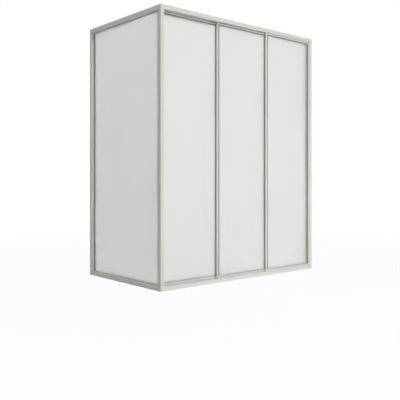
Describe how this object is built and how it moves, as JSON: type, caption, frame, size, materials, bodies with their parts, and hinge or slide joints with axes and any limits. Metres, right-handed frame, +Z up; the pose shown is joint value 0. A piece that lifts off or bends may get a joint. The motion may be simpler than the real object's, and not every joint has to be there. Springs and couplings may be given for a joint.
{
  "type": "bath screen",
  "caption": "Framed corner bath screen: a fixed frosted end panel and a front of framed frosted leaves that slide behind one another on rollers between head and sill tracks.",
  "frame": {"origin": "on the plane that the screen stands on, under the middle of its bounding box", "axes": "+X along the front from the corner post to the wall, +Y along the end panel from the front face to the other wall, +Z up"},
  "size_m": [1.17, 0.686, 1.425],
  "materials": {
    "white_frame": "satin white powder coat on extruded aluminium",
    "frosted_glass": "milky frosted sheet",
    "grey_gasket": "matt glazing gasket",
    "grey_seal": "matt soft seal",
    "white_nylon": "moulded nylon",
    "zinc_steel": "bright zinc plate"
  },
  "bodies": {
    "frame": {"head_rail": "white_frame", "sill_rail": "white_frame", "corner_post": "white_frame", "post_cover": "white_frame", "post_caps": "white_nylon", "front_jamb": "white_frame", "front_wall_channel": "white_frame", "end_head_rail": "white_frame", "end_sill_rail": "white_frame", "end_jamb": "white_frame", "end_wall_channel": "white_frame", "end_pane": "frosted_glass", "end_gasket": "grey_gasket", "head_end_blocks": "white_nylon", "sill_end_blocks": "white_nylon", "end_rail_blocks": "white_nylon", "frame_screws": "zinc_steel", "jamb_screws": "zinc_steel", "travel_buffers": "grey_seal", "leaf_3_left_stile": "white_frame", "leaf_3_right_stile": "white_frame", "leaf_3_top_rail": "white_frame", "leaf_3_bottom_rail": "white_frame", "leaf_3_pane": "frosted_glass", "leaf_3_gasket": "grey_gasket", "leaf_3_frame_screws": "zinc_steel", "leaf_3_packers": "white_nylon", "leaf_3_fixing_screws": "zinc_steel", "leaf_3_wiper": "grey_seal"},
    "leaf_1": {"leaf_1_left_stile": "white_frame", "leaf_1_right_stile": "white_frame", "leaf_1_top_rail": "white_frame", "leaf_1_bottom_rail": "white_frame", "leaf_1_pane": "frosted_glass", "leaf_1_gasket": "grey_gasket", "leaf_1_frame_screws": "zinc_steel", "leaf_1_carriages": "zinc_steel", "leaf_1_carriage_screws": "zinc_steel", "leaf_1_axles": "zinc_steel", "leaf_1_guide_shoes": "white_nylon", "leaf_1_closing_seal": "grey_seal"},
    "leaf_2": {"leaf_2_left_stile": "white_frame", "leaf_2_right_stile": "white_frame", "leaf_2_top_rail": "white_frame", "leaf_2_bottom_rail": "white_frame", "leaf_2_pane": "frosted_glass", "leaf_2_gasket": "grey_gasket", "leaf_2_frame_screws": "zinc_steel", "leaf_2_carriages": "zinc_steel", "leaf_2_carriage_screws": "zinc_steel", "leaf_2_axles": "zinc_steel", "leaf_2_guide_shoes": "white_nylon", "leaf_2_wiper": "grey_seal"},
    "leaf_1_roller_left": {"leaf_1_wheel_left": "white_nylon"},
    "leaf_1_roller_right": {"leaf_1_wheel_right": "white_nylon"},
    "leaf_2_roller_left": {"leaf_2_wheel_left": "white_nylon"},
    "leaf_2_roller_right": {"leaf_2_wheel_right": "white_nylon"}
  },
  "joints": [
    {"name": "leaf_1_slide", "type": "slide", "parent": "frame", "child": "leaf_1", "axis": [1, 0, 0], "range_m": [0, 0.733]},
    {"name": "leaf_2_slide", "type": "slide", "parent": "frame", "child": "leaf_2", "axis": [1, 0, 0], "range_m": [0, 0.365]},
    {"name": "leaf_1_roller_left_spin", "type": "hinge", "parent": "leaf_1", "child": "leaf_1_roller_left", "pos_m": [-0.516, -0.30525, 1.4164], "axis": [0, 1, 0], "continuous": true},
    {"name": "leaf_1_roller_right_spin", "type": "hinge", "parent": "leaf_1", "child": "leaf_1_roller_right", "pos_m": [-0.218, -0.30525, 1.4164], "axis": [0, 1, 0], "continuous": true},
    {"name": "leaf_2_roller_left_spin", "type": "hinge", "parent": "leaf_2", "child": "leaf_2_roller_left", "pos_m": [-0.148, -0.31875, 1.4164], "axis": [0, 1, 0], "continuous": true},
    {"name": "leaf_2_roller_right_spin", "type": "hinge", "parent": "leaf_2", "child": "leaf_2_roller_right", "pos_m": [0.15, -0.31875, 1.4164], "axis": [0, 1, 0], "continuous": true}
  ],
  "couplings": [
    {"joint": "leaf_1_roller_left_spin", "follows": "leaf_1_slide", "rad_per_m": 185.19},
    {"joint": "leaf_1_roller_right_spin", "follows": "leaf_1_slide", "rad_per_m": 185.19},
    {"joint": "leaf_2_roller_left_spin", "follows": "leaf_2_slide", "rad_per_m": 185.19},
    {"joint": "leaf_2_roller_right_spin", "follows": "leaf_2_slide", "rad_per_m": 185.19}
  ]
}
